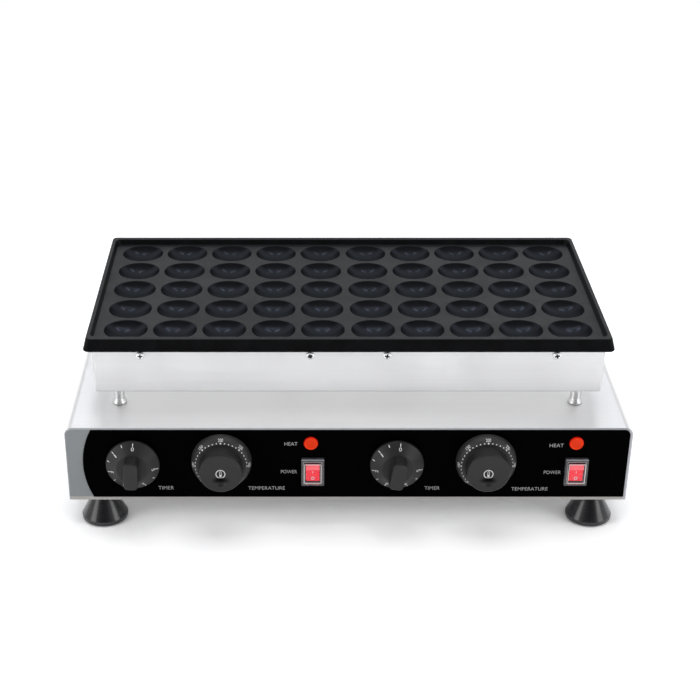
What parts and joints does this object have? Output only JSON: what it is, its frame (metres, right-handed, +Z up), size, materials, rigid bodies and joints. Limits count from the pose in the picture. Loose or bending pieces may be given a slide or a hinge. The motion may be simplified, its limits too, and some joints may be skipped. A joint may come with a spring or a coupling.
{
  "type": "mini pancake griddle",
  "caption": "Countertop mini pancake griddle: a dimpled non-stick plate on a heater box above a control base with two timers, two thermostats and two switches.",
  "frame": {"origin": "on the floor at the centre of the footprint, under the middle of the baking plate", "axes": "+Z up, the control panel faces -Y, +X to the right seen from the front"},
  "size_m": [0.57, 0.4026, 0.1943],
  "materials": {
    "nonstick_casting": "cast aluminium with a satin black non-stick coating",
    "stainless_sheet": "finely brushed stainless sheet",
    "bright_steel": "plain bright steel",
    "element_sheath": "heat-darkened tubular element sheath",
    "mineral_wool": "pressed mineral wool",
    "panel_black": "satin black printed overlay",
    "foot_black": "polished black moulding",
    "knob_black": "fine-textured dark grey moulding",
    "casing_grey": "dark grey moulding",
    "zinc_casing": "plated control casing",
    "copper_tube": "copper bulb and capillary",
    "lens_red": "translucent orange-red lens",
    "rocker_red": "translucent red moulding",
    "boot_clear": "clear soft splash cover",
    "terminal_cream": "cream terminal block",
    "wire_insulation": "silicone insulated wire",
    "cord_rubber": "black rubber lead and plug",
    "gland_plastic": "black nylon gland",
    "plug_brass": "brass plug pins"
  },
  "bodies": {
    "griddle": {"baking_plate": "nonstick_casting", "base_bottom_cover": "stainless_sheet", "base_housing": "stainless_sheet", "bottom_cover_screws": "bright_steel", "control_fixing_screws": "bright_steel", "control_panel_overlay": "panel_black", "cord_gland": "gland_plastic", "earth_stud": "bright_steel", "element_clamp_bars": "bright_steel", "element_clamp_screws": "bright_steel", "foot_front_left": "foot_black", "foot_front_right": "foot_black", "foot_nuts": "bright_steel", "foot_rear_left": "foot_black", "foot_rear_right": "foot_black", "foot_studs": "bright_steel", "gland_locknut": "gland_plastic", "heat_lamp_body_left": "casing_grey", "heat_lamp_body_right": "casing_grey", "heat_lamp_lens_left": "lens_red", "heat_lamp_lens_right": "lens_red", "heat_reflector": "stainless_sheet", "heater_housing": "stainless_sheet", "heating_element_left": "element_sheath", "heating_element_right": "element_sheath", "insulation_pad": "mineral_wool", "mains_plug": "cord_rubber", "pillar_bolts": "bright_steel", "pillar_nuts": "bright_steel", "plate_fixing_screws": "bright_steel", "plug_pins": "plug_brass", "power_cord": "cord_rubber", "power_switch_left": "casing_grey", "power_switch_right": "casing_grey", "support_pillar_front_left": "bright_steel", "support_pillar_front_right": "bright_steel", "support_pillar_rear_left": "bright_steel", "support_pillar_rear_right": "bright_steel", "switch_boot_left": "boot_clear", "switch_boot_right": "boot_clear", "terminal_block": "terminal_cream", "thermostat_body_left": "zinc_casing", "thermostat_body_right": "zinc_casing", "thermostat_bulb_left": "copper_tube", "thermostat_bulb_right": "copper_tube", "timer_body_left": "casing_grey", "timer_body_right": "casing_grey", "wire_conduit_left": "bright_steel", "wire_conduit_right": "bright_steel", "wiring_harness": "wire_insulation"},
    "timer_dial_left": {"timer_knob_left": "knob_black", "timer_shaft_left": "bright_steel"},
    "timer_dial_right": {"timer_knob_right": "knob_black", "timer_shaft_right": "bright_steel"},
    "thermostat_dial_left": {"thermostat_knob_left": "knob_black", "thermostat_shaft_left": "bright_steel"},
    "thermostat_dial_right": {"thermostat_knob_right": "knob_black", "thermostat_shaft_right": "bright_steel"},
    "rocker_left": {"power_rocker_left": "rocker_red"},
    "rocker_right": {"power_rocker_right": "rocker_red"}
  },
  "joints": [
    {"name": "timer_turn_left", "type": "hinge", "parent": "griddle", "child": "timer_dial_left", "pos_m": [-0.2173, -0.1716, 0.074], "axis": [0, 1, 0], "range_deg": [-2, 260]},
    {"name": "thermostat_turn_left", "type": "hinge", "parent": "griddle", "child": "thermostat_dial_left", "pos_m": [-0.1278, -0.1716, 0.078], "axis": [0, 1, 0], "range_deg": [-90, 180]},
    {"name": "power_rock_left", "type": "hinge", "parent": "griddle", "child": "rocker_left", "pos_m": [-0.0358, -0.173, 0.0646], "axis": [-1, 0, 0], "range_deg": [0, 18]},
    {"name": "timer_turn_right", "type": "hinge", "parent": "griddle", "child": "timer_dial_right", "pos_m": [0.0491, -0.1716, 0.074], "axis": [0, 1, 0], "range_deg": [-9, 253]},
    {"name": "thermostat_turn_right", "type": "hinge", "parent": "griddle", "child": "thermostat_dial_right", "pos_m": [0.1386, -0.1716, 0.078], "axis": [0, 1, 0], "range_deg": [-90, 180]},
    {"name": "power_rock_right", "type": "hinge", "parent": "griddle", "child": "rocker_right", "pos_m": [0.2306, -0.173, 0.0646], "axis": [-1, 0, 0], "range_deg": [0, 18]}
  ]
}
